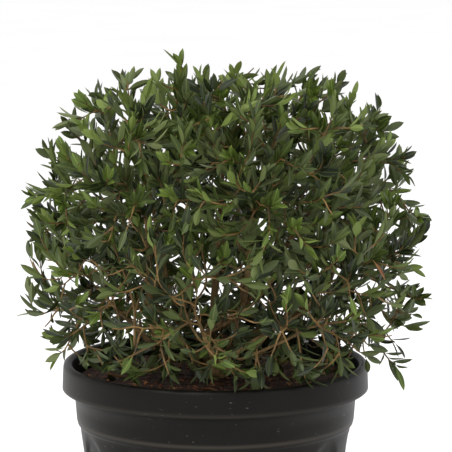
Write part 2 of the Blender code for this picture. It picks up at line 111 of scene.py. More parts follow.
# %% A tone and a mottled finish
def tint(red, green, blue):
    """A colour given in the 0 to 255 steps of a colour picker, as the linear values that a shader takes."""
    parts = [part / 255 for part in (red, green, blue)]
    return tuple(part / 12.92 if part < 0.04 else ((part + 0.055) / 1.055) ** 2.4 for part in parts) + (1,)


def node(tree, kind, **settings):
    made = tree.nodes.new(kind)
    for name, value in settings.items():
        setattr(made, name, value)
    return made


def ramp_of(tree, tones):
    """A colour ramp through (place, colour) pairs."""
    ramp = node(tree, "ShaderNodeValToRGB")
    points = ramp.color_ramp.elements
    points[0].position, points[0].color = tones[0]
    points[1].position, points[1].color = tones[-1]
    for place, colour in tones[1:-1]:
        points.new(place).color = colour
    return ramp


def noise_of(tree, places, scale, detail=4):
    made = node(tree, "ShaderNodeTexNoise")
    made.inputs["Scale"].default_value = scale
    made.inputs["Detail"].default_value = detail
    tree.links.new(places, made.inputs["Vector"])
    return made


def mottled(name, tones, scale, roughness, relief, relief_scale, depth=0.001, stretch=(1, 1, 1), gloss=0.5):
    """A finish whose tone and relief follow noise on Object coordinates."""
    finish = bpy.data.materials.new(name)
    finish.use_nodes = True
    tree = finish.node_tree
    shader = tree.nodes["Principled BSDF"]
    shader.inputs["Roughness"].default_value = roughness
    shader.inputs["Specular IOR Level"].default_value = gloss
    places = node(tree, "ShaderNodeTexCoord").outputs["Object"]
    mapping = node(tree, "ShaderNodeMapping")
    mapping.inputs["Scale"].default_value = stretch
    tree.links.new(places, mapping.inputs["Vector"])
    ramp = ramp_of(tree, tones)
    tree.links.new(noise_of(tree, mapping.outputs["Vector"], scale).outputs["Fac"], ramp.inputs["Fac"])
    tree.links.new(ramp.outputs["Color"], shader.inputs["Base Color"])
    bump = node(tree, "ShaderNodeBump")
    bump.inputs["Strength"].default_value = relief
    bump.inputs["Distance"].default_value = depth
    fine = noise_of(tree, mapping.outputs["Vector"], relief_scale)
    tree.links.new(fine.outputs["Fac"], bump.inputs["Height"])
    tree.links.new(bump.outputs["Normal"], shader.inputs["Normal"])
    return finish


FLOOR_TONES = [(0.3, (0.94, 0.94, 0.94, 1)), (0.7, (0.96, 0.96, 0.96, 1))]
floor_finish = mottled("pale floor", FLOOR_TONES, scale=2, roughness=0.9, relief=0.05, relief_scale=40)
print("a tone of 128 is", round(tint(128, 128, 128)[0], 3), "for a shader")

# %% [markdown]
# ## From a bmesh to a piece of the plant
#
# A shape is made in a bmesh, and becomes an object that stays at the origin, unturned: its place is
# in its mesh. Each piece rides on the plant's one body and may stand for nodes of the frame, which it hides.


# %% The last step of every piece
def piece_of(name, mesh, finish, stands_for, smooth=False):
    mesh.materials.clear()
    mesh.materials.append(finish)
    mesh.polygons.foreach_set("use_smooth", [smooth] * len(mesh.polygons))
    piece = bpy.data.objects.new(name, mesh)
    bpy.context.scene.collection.objects.link(piece)
    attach(piece, "root")
    if stands_for:
        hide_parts(*stands_for)
    print(name, "has", sum(len(face.vertices) - 2 for face in mesh.polygons), "triangles")
    return piece


def mesh_of(shape, name):
    mesh = bpy.data.meshes.new(name)
    shape.to_mesh(mesh)
    shape.free()
    return mesh


FLOOR_RADIUS = 60
FLOOR_DROP = 0.0005
shape = bmesh.new()
bmesh.ops.create_circle(shape, cap_ends=True, segments=64, radius=FLOOR_RADIUS)
floor = bpy.data.objects.new("floor", mesh_of(shape, "floor"))
floor.data.materials.append(floor_finish)
bpy.context.scene.collection.objects.link(floor)
floor.location.z = -FLOOR_DROP
print("the floor is", 2 * FLOOR_RADIUS, "m wide")

# %% [markdown]
# ## The pot
#
# A nursery pot is blown or moulded from dark plastic. It has a rolled rim, a smooth band under it,
# a small shoulder, and a tapering wall with shallow flutes that stiffen it. One line through the
# wall's section is spun round the pot's axis. The flutes are pressed in afterwards by moving the
# vertices that lie in them, with rounded heads and soft edges. That keeps one closed skin, where
# cutting each flute would leave thin slivers.

# %% Spin the pot and press its flutes
POT_HEIGHT = 0.325
LIP = POT_HEIGHT - 0.035
LIP_RADIUS = 0.200
RIM_MIDDLE = 0.1928
RIM_CURL = 0.0058
NECK_RADIUS = 0.1848
SHOULDER_TOP = POT_HEIGHT - 0.0744
SHOULDER_FOOT = POT_HEIGHT - 0.0820
WALL_TOP_RADIUS = 0.1775
SHOULDER_RADIUS = 0.1815
WAIST = POT_HEIGHT - 0.060
WAIST_RADIUS = 0.1826
FOOT_RADIUS = 0.145
FOOT_ROUND = 0.004
FLOOR_MIDDLE = 0.06
WALL = 0.0028
WALL_ROWS = 46
INNER_ROWS = 20
CURL_STEP = 20
POT_STEPS = 240
FLUTES = 12
FIRST_FLUTE = -5.5
FLUTE_HALF_WIDTH = 9.0
FLUTE_EDGE = 2.6
FLUTE_DEPTH = 0.0034
FLUTE_HEAD = SHOULDER_FOOT - 0.004
FLUTE_FOOT = 0.026


def wall_radius(z):
    return FOOT_RADIUS + (WALL_TOP_RADIUS - FOOT_RADIUS) * z / SHOULDER_FOOT


def pressed(x, y, z):
    """How deep a flute is at a place on the wall."""
    if z > SHOULDER_FOOT:
        return 0
    period = 360 / FLUTES
    turn = math.degrees(math.atan2(x, -y))
    away = (turn - FIRST_FLUTE + period / 2) % period - period / 2
    width = math.radians(FLUTE_HALF_WIDTH) * wall_radius(z)
    past = max(0, z - (FLUTE_HEAD - width), (FLUTE_FOOT + width) - z)
    reach = math.degrees(math.hypot(math.radians(away) * wall_radius(z), past) / wall_radius(z))
    share = min(max((FLUTE_HALF_WIDTH - reach) / FLUTE_EDGE, 0), 1)
    return FLUTE_DEPTH * share * share * (3 - 2 * share)


def pot_section():
    """(radius, height) points from the middle of the floor, up outside, over the rim and down inside."""
    foot = [(0, 0), (FLOOR_MIDDLE, 0), (FOOT_RADIUS - FOOT_ROUND, 0), (FOOT_RADIUS - 0.001, 0.0015)]
    foot.append((wall_radius(0.005), 0.005))
    wall = [(wall_radius(z), z) for z in np.linspace(0.012, SHOULDER_FOOT - 0.0012, WALL_ROWS)]
    shoulder = [(WALL_TOP_RADIUS + 0.0006, SHOULDER_FOOT)]
    shoulder.append((WALL_TOP_RADIUS + 0.0028, SHOULDER_FOOT + 0.0022))
    shoulder.append((SHOULDER_RADIUS - 0.0006, SHOULDER_TOP - 0.0030))
    shoulder.append((SHOULDER_RADIUS, SHOULDER_TOP))
    neck = [(WAIST_RADIUS, WAIST), (NECK_RADIUS, LIP + 0.0004)]
    band = [(0.1966, LIP + 0.0006), (0.1990, LIP), (0.1999, LIP + 0.0008), (LIP_RADIUS - 0.0002, LIP + 0.004)]
    band.append((0.1990, POT_HEIGHT - 0.012))
    turns = [math.radians(degrees) for degrees in range(0, 181, CURL_STEP)]
    curl_middle = POT_HEIGHT - RIM_CURL
    curl = [(RIM_MIDDLE + RIM_CURL * math.cos(t), curl_middle + RIM_CURL * math.sin(t)) for t in turns]
    inside = [(0.1852, LIP + 0.012), (NECK_RADIUS - WALL, LIP - 0.002), (WAIST_RADIUS - WALL, WAIST)]
    inside += [(0.1784, SHOULDER_TOP), (WALL_TOP_RADIUS - WALL, SHOULDER_FOOT - 0.001)]
    inside += [(wall_radius(z) - WALL, z) for z in np.linspace(SHOULDER_FOOT - 0.012, 0.012, INNER_ROWS)]
    inside += [(FOOT_RADIUS - 0.006, WALL + 0.001), (FLOOR_MIDDLE, WALL), (0, WALL)]
    return foot + wall + shoulder + neck + band + curl + inside


MERGE = 1e-6


def spun(section, steps):
    """A closed bmesh: the section as a chain of vertices, spun round the vertical axis."""
    shape = bmesh.new()
    chain = [shape.verts.new((radius, 0, height)) for radius, height in section]
    edges = [shape.edges.new(pair) for pair in zip(chain, chain[1:])]
    turn = {"cent": (0, 0, 0), "axis": UP, "angle": 2 * math.pi, "steps": steps}
    bmesh.ops.spin(shape, geom=chain + edges, use_merge=True, **turn)
    bmesh.ops.remove_doubles(shape, verts=shape.verts, dist=MERGE)
    bmesh.ops.recalc_face_normals(shape, faces=shape.faces)
    return shape


shape = spun(pot_section(), POT_STEPS)
for point in shape.verts:
    radius = math.hypot(point.co.x, point.co.y)
    if radius > FLOOR_MIDDLE:
        press = 1 - pressed(*point.co) / radius
        point.co.x *= press
        point.co.y *= press
pot_mesh = mesh_of(shape, "pot shell")
print("the pot's skin has", len(pot_mesh.polygons), "faces")

# %% [markdown]
# ## The pot's plastic
#
# Recycled black plastic is a warm grey-black with a dull sheen. A coarse noise mottles its tone. A fine
# stretched noise, cut hard by a ramp, draws short scuffs of pale dust. Pale lines along the lower edge
# of the band and the top of the shoulder are painted highlights, mixed in with the same pale colour.


# %% Dull black plastic with scuffs and painted edge highlights
NONE = (0, 0, 0, 1)
EDGE_HIGHLIGHT = (0.42, 0.42, 0.42, 1)
SCUFF_STRETCH = (1, 1, 2.4)
# The pale colour of dust in the scuffs, also used for the painted edge highlights.
DUST_AND_HIGHLIGHT = tint(88, 82, 74)


def painted_edge_highlights(tree):
    """A ramp over the pot's height that is pale at the edges of the band and of the shoulder, as painted
    highlights.
    """
    shoulder = [(SHOULDER_TOP - 0.0022, NONE), (SHOULDER_TOP, EDGE_HIGHLIGHT), (SHOULDER_TOP + 0.0018, NONE)]
    lip = [(LIP - 0.0010, NONE), (LIP + 0.0008, EDGE_HIGHLIGHT), (LIP + 0.0040, NONE)]
    return ramp_of(tree, shoulder + lip)


def pot_plastic():
    finish = mottled(
        "pot plastic",
        [(0.30, tint(9, 8, 5)), (0.55, tint(14, 12, 8)), (0.78, tint(25, 22, 15))],
        scale=9,
        roughness=0.42,
        relief=0.25,
        relief_scale=260,
        depth=0.0004,
        gloss=0.13,
    )
    tree = finish.node_tree
    shader = tree.nodes["Principled BSDF"]
    mottle = shader.inputs["Base Color"].links[0].from_socket
    places = node(tree, "ShaderNodeTexCoord").outputs["Object"]
    mapping = node(tree, "ShaderNodeMapping")
    mapping.inputs["Scale"].default_value = SCUFF_STRETCH
    tree.links.new(places, mapping.inputs["Vector"])
    marks = ramp_of(tree, [(0.68, NONE), (0.76, (1, 1, 1, 1))])
    scuffs = noise_of(tree, mapping.outputs["Vector"], scale=120, detail=8)
    tree.links.new(scuffs.outputs["Fac"], marks.inputs["Fac"])
    mix = node(tree, "ShaderNodeMix", data_type="RGBA")
    mix.inputs["B"].default_value = DUST_AND_HIGHLIGHT
    tree.links.new(mottle, mix.inputs["A"])
    height = node(tree, "ShaderNodeSeparateXYZ")
    tree.links.new(places, height.inputs["Vector"])
    # Painted highlights along the band's lower edge and the shoulder's top.
    edges = painted_edge_highlights(tree)
    tree.links.new(height.outputs["Z"], edges.inputs["Fac"])
    # Real scuffs and painted edge highlights both lighten the plastic towards the pale colour.
    scuffs_and_highlights = node(tree, "ShaderNodeMath", operation="MAXIMUM")
    tree.links.new(marks.outputs["Color"], scuffs_and_highlights.inputs[0])
    tree.links.new(edges.outputs["Color"], scuffs_and_highlights.inputs[1])
    tree.links.new(scuffs_and_highlights.outputs["Value"], mix.inputs["Factor"])
    tree.links.new(mix.outputs["Result"], shader.inputs["Base Color"])
    return finish


piece_of("pot_shell", pot_mesh, pot_plastic(), ["pot"], smooth=True)

# %% [markdown]
# ## The soil
#
# The pot is filled with peat and shredded bark. Its top is a shallow heap of crumbs, so a spun disc
# with many rings is roughened by moving each vertex up and down with two sizes of noise. Loose bits
# of bark and a few fallen leaves lie on it later.

# %% A lumpy heap of peat
SOIL_TOP = POT_HEIGHT - 0.025
SOIL_CROWN = 0.004
SOIL_RADIUS = 0.1812
SOIL_DEPTH = 0.030
SOIL_FOOT_RADIUS = 0.1775
SOIL_RINGS = 56
SOIL_STEPS = 160
CLOD_SCALE = 60
CLOD_HEIGHT = 0.0020
CRUMB_SCALE = 190
CRUMB_HEIGHT = 0.0014


def soil_height(x, y):
    """The height of the soil's surface at a place."""
    share = math.hypot(x, y) / SOIL_RADIUS
    clods = noise.noise(Vector((x, y, 0)) * CLOD_SCALE) * CLOD_HEIGHT
    crumbs = noise.noise(Vector((x, y, 1)) * CRUMB_SCALE) * CRUMB_HEIGHT
    return SOIL_TOP + SOIL_CROWN * (1 - share**4) + (clods + crumbs) * (1 if share < 0.98 else 0.5)


soil_section = [(SOIL_RADIUS * share, SOIL_TOP) for share in np.linspace(0, 1, SOIL_RINGS)]
soil_section.append((SOIL_RADIUS - 0.0004, SOIL_TOP - SOIL_DEPTH / 3))
soil_section += [(SOIL_FOOT_RADIUS, SOIL_TOP - SOIL_DEPTH), (0, SOIL_TOP - SOIL_DEPTH)]
shape = spun(soil_section, SOIL_STEPS)
for point in shape.verts:
    if point.co.z > SOIL_TOP - 0.001:
        point.co.z = soil_height(point.co.x, point.co.y)
soil_finish = mottled(
    "peat",
    [(0.28, tint(24, 15, 11)), (0.5, tint(52, 33, 23)), (0.66, tint(84, 52, 32)), (0.8, tint(128, 84, 50))],
    scale=160,
    roughness=0.95,
    relief=0.9,
    relief_scale=420,
    depth=0.0015,
)
piece_of("soil_heap", mesh_of(shape, "soil heap"), soil_finish, ["soil"])

# %% [markdown]
# ## Copies of one small shape
#
# Bits of bark and leaves come in hundreds or thousands. One small shape is made with bmesh
# operators, and its copies are laid out by array arithmetic: each copy has a place and three axes.
# That is many times quicker than one operator for each copy, and the result is one joined mesh.


# %% Lay out copies of a shape
def laid_out(name, template, places):
    """One mesh of copies of the template, each placed by (origin, x axis, y axis, z axis)."""
    corners = np.array([vertex.co for vertex in template.vertices])
    spots = np.array([[list(part) for part in place] for place in places])
    points = spots[:, None, 0] + np.einsum("vi,kij->kvj", corners, spots[:, 1:])
    faces = [tuple(face.vertices) for face in template.polygons]
    count = len(corners)
    mesh = bpy.data.meshes.new(name)
    every = [tuple(index + copy * count for index in face) for copy in range(len(places)) for face in faces]
    mesh.from_pydata(points.reshape(-1, 3).tolist(), [], every)
    if template.uv_layers:
        marks = np.zeros(len(template.loops) * 2)
        template.uv_layers[0].data.foreach_get("uv", marks)
        mesh.uv_layers.new(name="blade").data.foreach_set("uv", np.tile(marks, len(places)))
    return mesh


def axes_along(direction, normal, length, width, thickness):
    """The three axes of a copy that lies along a direction with its face towards a normal."""
    across = direction.cross(normal).normalized()
    return across * width, across.cross(direction).normalized() * thickness, direction * length


shape = bmesh.new()
bmesh.ops.create_icosphere(shape, subdivisions=1, radius=1)
for point in shape.verts:
    point.co *= 0.75 + 0.5 * noise.noise(point.co * 2)
bit = mesh_of(shape, "bit")
BITS = 700
BIT_LENGTHS = (0.0012, 0.0058)
BIT_WIDTHS = (0.3, 0.7)
BIT_HEIGHTS = (0.0006, 0.0014)
spots = []
while len(spots) < BITS:
    turn = rng.uniform(0, 2 * math.pi)
    radius = SOIL_RADIUS * 0.97 * math.sqrt(rng.random())
    place = Vector((radius * math.cos(turn), radius * math.sin(turn), 0))
    place.z = soil_height(place.x, place.y) + BIT_HEIGHTS[0]
    along = Vector((rng.uniform(-1, 1), rng.uniform(-1, 1), rng.uniform(-0.2, 0.2))).normalized()
    length = rng.uniform(*BIT_LENGTHS)
    width = length * rng.uniform(*BIT_WIDTHS)
    spots.append((place, *axes_along(along, UP, length, width, rng.uniform(*BIT_HEIGHTS))))
bit_finish = mottled(
    "bark bits",
    [(0.3, tint(70, 40, 24)), (0.5, tint(120, 72, 40)), (0.7, tint(168, 118, 72))],
    scale=90,
    roughness=0.9,
    relief=0.5,
    relief_scale=500,
)
piece_of("soil_bits", laid_out("soil bits", bit, spots), bit_finish, [])

# %% [markdown]
# ## Trunk, stems and boughs
#
# Many-stemmed bushes such as this one leave the soil as a short stump that divides at once. The
# frame has the stump, six stems and thirteen boughs as plain tapered solids. Each is copied,
# merged, divided and smoothed, and its skin is then moved in and out by stretched noise, which
# gives the low ridges of young bark.

# %% Bark relief over the frame's limbs
LIMBS = sorted(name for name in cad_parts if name.split("_")[0] in ("trunk", "stem", "bough"))

RIDGE_SCALE = 420
RUN_SCALE = 90
RIDGE_HEIGHT = 0.00045
KNOT_SCALE = 45
KNOT_LEAST = 0.2
KNOT_HEIGHT = 0.0018
BARK_SWELL = 0.0003


def barked(name):
    """A copy of a limb with rounder sides and shallow ridges."""
    shape = bmesh.new()
    shape.from_mesh(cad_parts[name].data)
    bmesh.ops.remove_doubles(shape, verts=shape.verts, dist=10 * MERGE)
    bmesh.ops.subdivide_edges(shape, edges=shape.edges, cuts=2, use_grid_fill=True)
    every_way = {"use_axis_x": True, "use_axis_y": True, "use_axis_z": True}
    bmesh.ops.smooth_vert(shape, verts=shape.verts, factor=0.5, **every_way)
    shape.normal_update()
    for point in shape.verts:
        grain = Vector((point.co.x * RIDGE_SCALE, point.co.y * RIDGE_SCALE, point.co.z * RUN_SCALE))
        ridge = noise.noise(grain)
        knot = max(0, noise.noise(point.co * KNOT_SCALE) - KNOT_LEAST)
        point.co += point.normal * (BARK_SWELL + ridge * RIDGE_HEIGHT + knot * KNOT_HEIGHT)
    return shape


bark_finish = mottled(
    "bark",
    [(0.25, tint(64, 48, 26)), (0.5, tint(104, 82, 46)), (0.75, tint(148, 122, 78))],
    scale=70,
    roughness=0.85,
    relief=0.7,
    relief_scale=300,
    depth=0.0008,
    stretch=(1, 1, 0.35),
)
shape = bmesh.new()
for name in LIMBS:
    limb = barked(name)
    copy = mesh_of(limb, name)
    shape.from_mesh(copy)
    bpy.data.meshes.remove(copy)
limb_tree = BVHTree.FromBMesh(shape)
piece_of("barked_limbs", mesh_of(shape, "barked limbs"), bark_finish, LIMBS, smooth=True)

# %% [markdown]
# ## The room that each mass keeps to
#
# The crown is clipped into a cushion: a rounded box that is flat on top and pulled in below. It is
# shared out among thirteen masses, and a place belongs to the mass whose middle is nearest. These
# are the numbers that the solids have, with slightly squarer corners, so that the leaves fill the
# same room and reach the same tips.

# %% The crown's outline and its thirteen shares
CROWN_MIDDLE = Vector((0.012, 0, 0.444))
CROWN_RADIUS = 0.266
CROWN_RISE = 0.266
CROWN_DROP = 0.140
SQUARENESS = 3.4
MASS_RINGS = (("lower", 7, 0.190, 0.405, -64), ("upper", 5, 0.150, 0.565, 18), ("top", 1, 0, 0.640, 0))
CORE_DEPTH = 0.84
FAR_TIPS = [
    Vector(tip)
    for tip in (
        (-0.065, -0.030, 0.736),
        (0.032, -0.045, 0.722),
        (-0.259, -0.020, 0.389),
        (0.283, -0.015, 0.410),
        (0.244, -0.060, 0.297),
        (-0.214, -0.050, 0.322),
    )
]


def shares_of(points):
    """0 in the crown's middle and 1 on its outline, for an array of points."""
    away = points - np.array(CROWN_MIDDLE)
    level = np.hypot(away[..., 0], away[..., 1]) / CROWN_RADIUS
    height = np.abs(away[..., 2]) / np.where(away[..., 2] > 0, CROWN_RISE, CROWN_DROP)
    return (level**SQUARENESS + height**SQUARENESS) ** (1 / SQUARENESS)


INSIDE_RIM = RIM_MIDDLE - 0.009
SOIL_ROOM = 0.007


def clear_of_pot(points, margin):
    """Whether points are above the pot, over the soil inside its rim, or outside it, by that margin."""
    radius = np.hypot(points[..., 0], points[..., 1])
    over_soil = (radius < INSIDE_RIM - margin) & (points[..., 2] > SOIL_TOP + SOIL_ROOM + margin)
    return (points[..., 2] > POT_HEIGHT + margin) | over_soil | (radius > LIP_RADIUS + margin)


def mass_centres():
    """The middle of each mass, by name."""
    centres = {}
    for ring, count, radius, height, first in MASS_RINGS:
        for place in range(count):
            turn = math.radians(first + place * 360 / count)
            level = Vector((math.sin(turn), -math.cos(turn), 0)) * radius
            name = ring if count == 1 else f"{ring}_{place + 1}"
            centres[name] = Vector((CROWN_MIDDLE.x, CROWN_MIDDLE.y, height)) + level
    return centres


CENTRES = mass_centres()
ALL_CENTRES = np.array([list(centre) for centre in CENTRES.values()])
print("the masses are", ", ".join(CENTRES))

# %% [markdown]
# ## How the twigs grow
#
# Ends for the twigs are scattered through the outer part of a mass, each in the loneliest of a few
# guesses. Then the twigs are grown towards them one by one. Each leaves the point of the wood
# already there that leads to its end most directly, and no twig turns back on itself. This gives
# forks that open upwards and outwards, with thin shoots on thicker ones, as on the clipped plant.

# %% Grow the twigs of one mass
TWIG_ENDS = 96
FAR_PULL = 0.28
GUESSES = 8
WAY_SHARE = 0.30
LEAST_COSINE = math.cos(math.radians(72))
TWIG_STEP = 0.010
SHORTEST_TWIG = 0.014
REFUSED = 9.0
LEAST_SHARE = 0.34
MOST_SHARES = (0.88, 0.985)
POT_ROOM = 0.008
STEM_STEPS = (-0.003, 0.010, 0.022, 0.034, 0.046)
LEAVING_EASE = 0.30
ARRIVING_EASE = 0.34


def scatter(name, count):
    """Ends of twigs through the outer part of a mass."""
    own = list(CENTRES).index(name)
    ends = [far_end(tip) for tip in FAR_TIPS if nearest_mass(tip) == own]
    while len(ends) < count:
        guesses = []
        while len(guesses) < GUESSES:
            spread = Vector([rng.uniform(-1, 1) for _ in range(3)])
            guess = CROWN_MIDDLE + spread * CROWN_RADIUS
            spot = np.array(guess)
            if LEAST_SHARE < shares_of(spot) < rng.uniform(*MOST_SHARES) and nearest_mass(guess) == own:
                if clear_of_pot(spot, POT_ROOM):
                    guesses.append(guess)
        ends.append(max(guesses, key=lambda guess: min([(guess - end).length for end in ends], default=1)))
    return ends


def far_end(tip):
    """Where the twig ends whose last leaf reaches a far tip."""
    return tip.lerp(Vector(ALL_CENTRES[nearest_mass(tip)]), FAR_PULL)


def nearest_mass(point):
    return int(np.argmin(np.linalg.norm(ALL_CENTRES - np.array(point), axis=1)))


def bough_end(name):
    """Where a mass's bough ends, and the direction in which it points."""
    middle = CROWN_MIDDLE + (CENTRES[name] - CROWN_MIDDLE) * CORE_DEPTH
    corners = [vertex.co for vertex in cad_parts[f"bough_{name}"].data.vertices]
    least = min((corner - middle).length for corner in corners)
    ring = [corner for corner in corners if (corner - middle).length < least + 0.001]
    end = sum(ring, Vector()) / len(ring)
    return end, (middle - end).normalized()


def curve_points(start, leaving, end, arriving):
    """Points along a twig that leaves in one direction and arrives in another."""
    length = (end - start).length
    first = start + leaving * length * LEAVING_EASE
    second = end - arriving * length * ARRIVING_EASE
    count = max(3, round(length / TWIG_STEP))
    points = []
    for step in range(count + 1):
        t = step / count
        s = 1 - t
        points.append(start * s**3 + first * 3 * s * s * t + second * 3 * s * t * t + end * t**3)
    return points


def grow(name):
    """The twigs of a mass, each as its points."""
    root, heading = bough_end(name)
    ends = [np.array(end) for end in scatter(name, TWIG_ENDS)]
    stem = [root + heading * step for step in STEM_STEPS]
    twigs = [stem]
    points = stem[1:]
    headings = [heading] * len(points)
    ways = [0.0] * len(points)
    while ends:
        gaps = np.array(ends)[:, None] - np.array(points)[None]
        lengths = np.linalg.norm(gaps, axis=2)
        cosines = (gaps * np.array(headings)[None]).sum(2) / np.maximum(lengths, 1e-6)
        costs = lengths + WAY_SHARE * np.array(ways)[None]
        costs += REFUSED * (cosines < LEAST_COSINE) + REFUSED * (lengths < SHORTEST_TWIG)
        which, place = np.unravel_index(np.argmin(costs), costs.shape)
        end = Vector(ends.pop(int(which)))
        if costs[which, place] > REFUSED / 2:
            continue
        start, leaving = points[place], headings[place]
        straight = (end - start).normalized()
        outward = Vector((end.x - CROWN_MIDDLE.x, end.y, 0)).normalized()
        upturn = 0.35 + 0.55 * max(0, straight.z + 0.4)
        arriving = (straight + UP * upturn + outward * 0.10).normalized()
        path = curve_points(start, (leaving * 0.5 + straight).normalized(), end, arriving)
        twigs.append(path)
        way = ways[place]
        for first, second in zip(path, path[1:]):
            way += (second - first).length
            points.append(second)
            headings.append((second - first).normalized())
            ways.append(way)
    return twigs


TWIGS = {name: grow(name) for name in CENTRES}
print("there are", sum(len(twigs) for twigs in TWIGS.values()), "twigs")

# %% [markdown]
# ## Boughs that show at the front
#
# Between the leaves the photograph shows a few pale boughs in the front half: a curved one that
# forks behind the middle, and one to each side. They are drawn through a few points, and each
# begins on the nearest limb.

# %% Boughs through a few points
SHOWN_BOUGHS = (
    (
        0.0030,
        ((-0.008, -0.060, 0.372), (0.036, -0.070, 0.401), (0.061, -0.073, 0.427), (0.076, -0.080, 0.449)),
    ),
    (0.0024, ((0.033, -0.070, 0.404), (0.034, -0.072, 0.436), (0.033, -0.074, 0.464))),
    (
        0.0025,
        ((0.032, -0.112, 0.348), (0.088, -0.122, 0.374), (0.118, -0.124, 0.391), (0.166, -0.120, 0.399)),
    ),
    (0.0019, ((-0.019, -0.112, 0.373), (-0.035, -0.118, 0.403), (-0.042, -0.124, 0.440))),
    (
        0.0022,
        ((-0.102, -0.090, 0.362), (-0.102, -0.094, 0.404), (-0.108, -0.100, 0.436), (-0.128, -0.108, 0.495)),
    ),
    (
        0.0017,
        ((-0.102, -0.094, 0.404), (-0.085, -0.102, 0.459), (-0.081, -0.106, 0.472), (-0.098, -0.110, 0.522)),
    ),
    (0.0019, ((-0.028, -0.080, 0.413), (-0.011, -0.088, 0.444), (-0.019, -0.094, 0.495))),
)


def through(points):
    """A smooth line through points, about one twig step apart."""
    line = []
    padded = [points[0], *points, points[-1]]
    for before, start, end, after in zip(padded, padded[1:], padded[2:], padded[3:]):
        count = max(2, round((end - start).length / TWIG_STEP))
        for step in range(count):
            t = step / count
            line.append(
                0.5
                * (
                    2 * start
                    + (end - before) * t
                    + (2 * before - 5 * start + 4 * end - after) * t * t
                    + (3 * start - before - 3 * end + after) * t**3
                )
            )
    return line + [points[-1]]


LEAST_STEP = 0.004
shown = []
for radius, places in SHOWN_BOUGHS:
    places = [Vector(place) for place in places]
    foot = limb_tree.find_nearest(places[0])[0]
    drawn = [place for _, line in shown for place in line]
    near = min(drawn, key=lambda spot: (spot - places[0]).length, default=foot)
    foot = near if (near - places[0]).length < (foot - places[0]).length else foot
    if (foot - places[0]).length > LEAST_STEP:
        places.insert(0, foot)
    shown.append((radius, through(places)))
print(len(shown), "boughs show at the front")

# %% [markdown]
# ## The twigs' wood
#
# A curve with a round bevel is the quickest tube: every point has a radius, so one curve object
# holds all the twigs, thick at the foot and thin at the tip. It is turned into a mesh, because a
# mesh is what is kept.


# %% Make tubes along the twigs
TAPER_POWER = 0.8


def tubes(name, lines, finish):
    """One mesh of tapered tubes along (points, first radius, last radius) lines."""
    wood = bpy.data.curves.new(name, "CURVE")
    wood.dimensions = "3D"
    wood.bevel_depth = 1
    wood.bevel_resolution = 1
    wood.use_fill_caps = True
    for points, first, last in lines:
        spline = wood.splines.new("POLY")
        spline.points.add(len(points) - 1)
        for step, place in enumerate(points):
            spline.points[step].co = (*place, 1)
            spline.points[step].radius = first + (last - first) * (step / (len(points) - 1)) ** TAPER_POWER
    stand_in = bpy.data.objects.new(name, wood)
    bpy.context.scene.collection.objects.link(stand_in)
    seen = stand_in.evaluated_get(bpy.context.evaluated_depsgraph_get())
    mesh = bpy.data.meshes.new_from_object(seen)
    bpy.data.objects.remove(stand_in)
    return piece_of(name, mesh, finish, [], smooth=True)


def length_of(points):
    return sum((second - first).length for first, second in zip(points, points[1:]))


twig_finish = mottled(
    "young bark",
    [(0.28, tint(62, 44, 19)), (0.5, tint(100, 75, 36)), (0.75, tint(140, 110, 60))],
    scale=55,
    roughness=0.75,
    relief=0.4,
    relief_scale=600,
    depth=0.0004,
)
STEM_RADII = (0.0031, 0.0018)
SHOWN_TAPER = 0.62
TWIG_TIP_RADIUS = 0.00075
TWIG_FOOT_RADIUS = 0.0010
MOST_TWIG_RADIUS = 0.0019
TWIG_SWELL = 0.010


def foot_radius(points):
    """A longer twig is thicker at its foot."""
    return min(MOST_TWIG_RADIUS, TWIG_FOOT_RADIUS + length_of(points) * TWIG_SWELL)


thick = [(twigs[0], *STEM_RADII) for twigs in TWIGS.values()]
thick += [(points, radius, radius * SHOWN_TAPER) for radius, points in shown]
thin = [(points, foot_radius(points), TWIG_TIP_RADIUS) for twigs in TWIGS.values() for points in twigs[1:]]
tubes("thick_twigs", thick, bark_finish)
tubes("thin_twigs", thin, twig_finish)

# %% [markdown]
# ## One leaf
#
# The leaf is narrow and pointed, about 33 mm long and under a third as wide, widest just before its
# middle, folded a little along its midrib and bent back at the tip. A small sphere of four
# meridians has just the corners that it needs: two run along its edges, one along the midrib above
# and one below. Each ring is scaled to the blade's outline there. The first ring is narrow, for the
# stalk. The blade's own UV map tells across from along, and upper side from underside, so that a
# finish can draw the midrib.

# %% Shape one leaf from a sphere
LEAF_RINGS = 6
LEAF_THICKNESS = 0.0004
BLADE_WIDTHS = (0.30, 0.80, 1.0, 0.93, 0.66)
LEAF_FOLD = 3.6
LEAF_BEND = 5.2


def leaf_shape():
    """A leaf one unit long and one wide, along z, with its upper side towards y, which counts thicknesses."""
    shape = bmesh.new()
    bmesh.ops.create_uvsphere(shape, u_segments=4, v_segments=LEAF_RINGS, radius=1)
    for point in shape.verts:
        along = math.acos(max(-1, min(1, -point.co.z))) / math.pi
        ring = round(along * LEAF_RINGS)
        width = BLADE_WIDTHS[ring - 1] if 0 < ring < LEAF_RINGS else 0
        side = point.co.x / max(1e-6, math.hypot(point.co.x, point.co.y))
        face = point.co.y / max(1e-6, math.hypot(point.co.x, point.co.y))
        share = along if 0 < ring < LEAF_RINGS else round(along)
        point.co.x = side * width / 2 if width else 0
        point.co.y = (face if width else 0) + abs(side) * width * LEAF_FOLD - LEAF_BEND * share * share
        point.co.z = share
    bmesh.ops.recalc_face_normals(shape, faces=shape.faces)
    marks = shape.loops.layers.uv.new("blade")
    for blade in shape.faces:
        under = 1.0 if blade.normal.y < 0 else 0.0
        for loop in blade.loops:
            loop[marks].uv = (0.5 + loop.vert.co.x + under, loop.vert.co.z)
    return mesh_of(shape, "leaf")


leaf_template = leaf_shape()
print("one leaf has", sum(len(face.vertices) - 2 for face in leaf_template.polygons), "triangles")

# %% [markdown]
# ## The leaves' finish
#
# Old leaves are a dark, slightly glossy green with a paler midrib, and the underside is duller and
# greyer. Young leaves at the tips are yellow-green. The colours are dealt out by spray: each finish
# has its own plain green, and only the midrib, the underside and a slight mottling are worked out
# by nodes from the blade's UV map.


